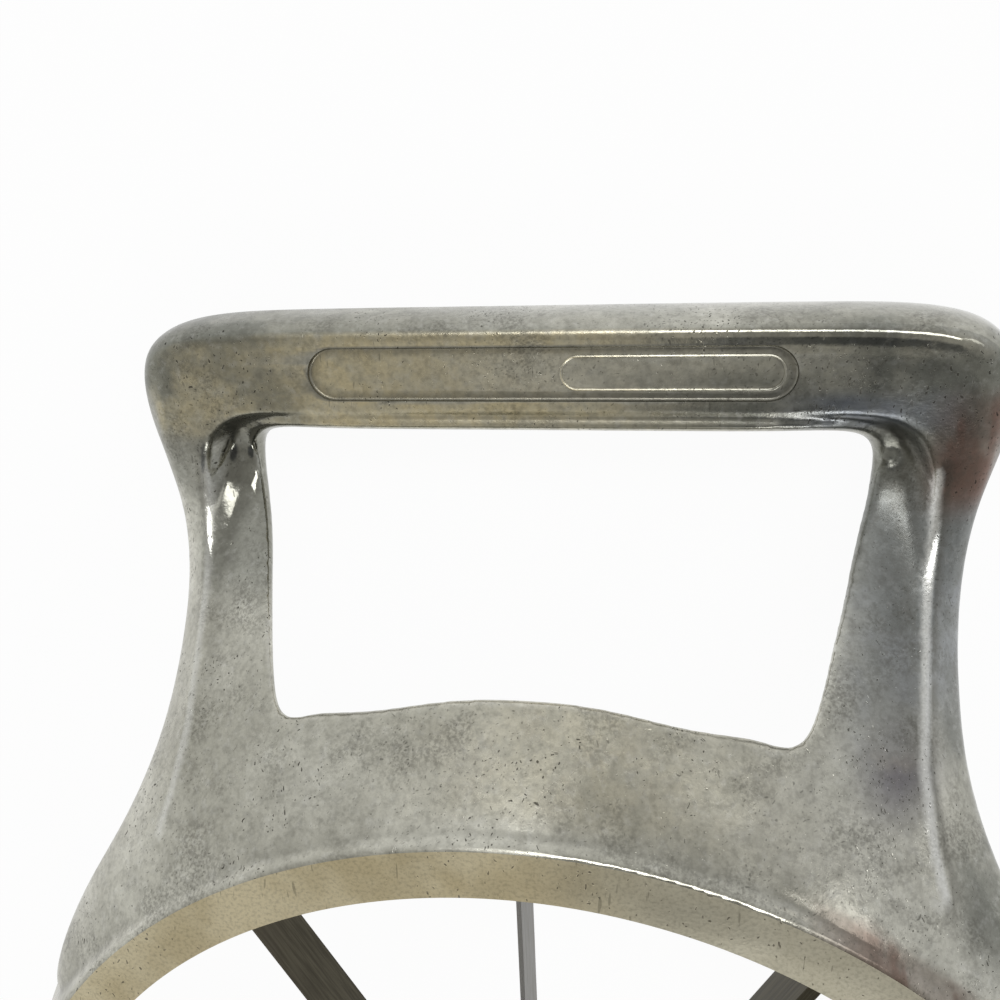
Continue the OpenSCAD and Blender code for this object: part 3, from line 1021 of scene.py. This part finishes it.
def makeSteelMaterial(name, groups, base, pale, alongRadius):
    # brushed lines run outwards along a blade, or round the tube
    material, tree, shader, coords = newMaterial(name)
    spot = place(tree, "ShaderNodeSeparateXYZ", {0: coords}).outputs
    flat = place(tree, "ShaderNodeCombineXYZ", {"X": spot["X"], "Y": spot["Y"]}).outputs[0]
    radius = vectorCalc(tree, "LENGTH", {0: flat})["Value"]
    around = calc(tree, "ARCTAN2", spot["Y"], spot["X"])
    reach = scaled(tree, radius, 0.03 if alongRadius else 1.0)
    turn = scaled(tree, around, 0.3 if alongRadius else 0.0004)
    lines = place(tree, "ShaderNodeCombineXYZ", {"X": reach, "Y": turn, "Z": spot["Z"]}).outputs[0]
    brushed = noise(tree, lines, 3500.0, 3.0, 0.6)
    stain = useGroup(tree, groups["clouds"], Vector=coords, Scale=120.0, Low=0.45, High=0.7)
    pits = useGroup(tree, groups["pits"], Vector=coords, Scale=1200.0, Amount=0.25, Patch_Scale=120.0)
    color = blendColor(tree, ramp(tree, brushed, 0.3, 0.7), base, pale)
    color = layered(tree, color, [
        (scaled(tree, stain, 0.45), steelLook["stain"]),
        (scaled(tree, pits, 0.7), steelLook["stain"]),
    ])
    rough = ramp(tree, brushed, 0.2, 0.8, *steelLook["roughness"])
    finishMetal(tree, shader, color, rough, brushed, steelLook["bumpStrength"], steelLook["bumpDistance"])
    return material


def dress(piece, materials, slotName, *nodes):
    chosen = np.zeros(len(piece.data.polygons), np.int32)
    piece.data.polygons.foreach_get("material_index", chosen)
    piece.data.materials.clear()
    for material in materials:
        piece.data.materials.append(material)
    piece.data.polygons.foreach_set("material_index", chosen)
    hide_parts(*nodes)
    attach(piece, "root")


groups = {"pits": makePitGroup(), "clouds": makeCloudGroup()}
castMaterial = makeCastMaterial(groups)
rimMaterial = makeRimMaterial(groups)
bladeMaterial = makeSteelMaterial("bladeSteel", groups, steelLook["blade"], steelLook["bladePale"], True)
corerMaterial = makeSteelMaterial("corerSteel", groups, steelLook["corer"], steelLook["corerPale"], False)

dress(makeCasting(), [castMaterial, rimMaterial], "cast_aluminium", "cast_frame")
dress(makeCorer(), [corerMaterial], "corer_steel", "corer_tube")
for i in range(blade["count"]):
    dress(makeBlade(i), [bladeMaterial], "blade_steel", "blade_%02d" % (i + 1))
print("pieces made")


studio = {
    "floorSize": 3.0,
    "floorColor": (0.94, 0.94, 0.94, 1),
    "floorRoughness": 0.9,
    "backdropWhite": 0.95,  # how far the floor is lifted to white where it is seen
    "zenithColor": (0.44, 0.435, 0.415, 1),
    "zenithSpan": (0.15, 0.95),
    "horizonColor": (0.86, 0.865, 0.86, 1),
    "shadeColor": (0.70, 0.705, 0.71, 1),  # the horizon on the side away from the lamps
    "shadeSpan": (-0.1, 0.8),
    "hoodColor": (0.13, 0.135, 0.14, 1),  # dark patch overhead, for contrast on the polished metal
    "hoodAxis": (0.26, -0.46, 0.85),
    "hoodSpan": (0.93, 0.985),
    "lamps": [
        # name, place, aim, width, height, power, color
        ("backSoftbox", (0.20, 0.60, 0.78), (0, 0.05, 0.02), 0.8, 0.19, 2.2, (1.0, 1.0, 1.0)),
        ("frontSoftbox", (0.32, -0.66, 0.70), (0.03, 0.04, 0.03), 0.22, 0.22, 1.0, (1.0, 1.0, 1.0)),
        ("rightSoftbox", (0.70, 0.45, 0.60), (0, 0.03, 0.02), 0.2, 0.2, 0.12, (1.0, 1.0, 1.0)),
    ],
}

photoCamera = {
    "place": (0.01276, 0.1077, 0.10005),
    "right": (0.9837, -0.04238, -0.17473),
    "up": (-0.01943, 0.94108, -0.33763),
    "back": (0.17874, 0.33552, 0.92492),
    "lens": 36.0,
    "sensor": 36.0,
    "clip": (0.002, 20.0),
}


def makeFloor():
    bm = bmesh.new()
    bmesh.ops.create_grid(bm, x_segments=1, y_segments=1, size=studio["floorSize"] / 2)
    floor = meshPiece(bm, "studioFloor")
    material, tree, shader = newMaterial("paleFloor")[:3]
    shader.inputs["Base Color"].default_value = studio["floorColor"]
    shader.inputs["Roughness"].default_value = studio["floorRoughness"]
    path = place(tree, "ShaderNodeLightPath").outputs
    seen = calc(tree, "MAXIMUM", path["Is Camera Ray"], path["Is Glossy Ray"])
    glow = place(tree, "ShaderNodeEmission", {"Color": (1, 1, 1, 1), "Strength": 1.0})
    share = scaled(tree, seen, studio["backdropWhite"])
    both = place(tree, "ShaderNodeMixShader", {0: share, 1: shader.outputs[0], 2: glow.outputs[0]})
    tree.links.new(both.outputs[0], tree.nodes["Material Output"].inputs["Surface"])
    floor.data.materials.append(material)


def makeLamps():
    for name, spot, aim, width, height, power, color in studio["lamps"]:
        light = bpy.data.lights.new(name, "AREA")
        light.shape = "RECTANGLE"
        light.size, light.size_y = width, height
        light.energy, light.color = power, color
        lamp = linked(name, light)
        lamp.location = spot
        lamp.rotation_euler = (Vector(aim) - Vector(spot)).to_track_quat("-Z", "Y").to_euler()


def makeWorld():
    world = bpy.data.worlds.new("studioWorld")
    world.use_nodes = True
    tree = world.node_tree
    sky = tree.nodes["Background"]
    direction = place(tree, "ShaderNodeTexCoord").outputs["Generated"]
    axes = place(tree, "ShaderNodeSeparateXYZ", {0: direction}).outputs
    facing = vectorCalc(tree, "DOT_PRODUCT", {0: direction, 1: studio["hoodAxis"]})["Value"]
    shade = layered(tree, studio["horizonColor"], [
        (ramp(tree, axes["X"], *studio["shadeSpan"]), studio["shadeColor"]),
        (ramp(tree, axes["Z"], *studio["zenithSpan"]), studio["zenithColor"]),
        (ramp(tree, facing, *studio["hoodSpan"]), studio["hoodColor"]),
    ])
    tree.links.new(shade, sky.inputs["Color"])
    sky.inputs["Strength"].default_value = 1.0
    seen = place(tree, "ShaderNodeLightPath").outputs["Is Camera Ray"]
    white = place(tree, "ShaderNodeBackground", {"Color": (1, 1, 1, 1), "Strength": 1.0})
    both = place(tree, "ShaderNodeMixShader", {0: seen, 1: sky.outputs[0], 2: white.outputs[0]})
    tree.links.new(both.outputs[0], tree.nodes["World Output"].inputs["Surface"])
    bpy.context.scene.world = world


def makeCamera():
    camera = bpy.data.cameras.new("photoCamera")
    camera.lens, camera.sensor_width = photoCamera["lens"], photoCamera["sensor"]
    camera.clip_start, camera.clip_end = photoCamera["clip"]
    made = linked("photoCamera", camera)
    axes = [photoCamera["right"], photoCamera["up"], photoCamera["back"], photoCamera["place"]]
    made.matrix_world = Matrix([[axis[row] for axis in axes] for row in range(3)] + [[0, 0, 0, 1]])
    bpy.context.scene.camera = made


makeFloor()
makeLamps()
makeWorld()
makeCamera()
bpy.context.scene.view_settings.view_transform = "Standard"
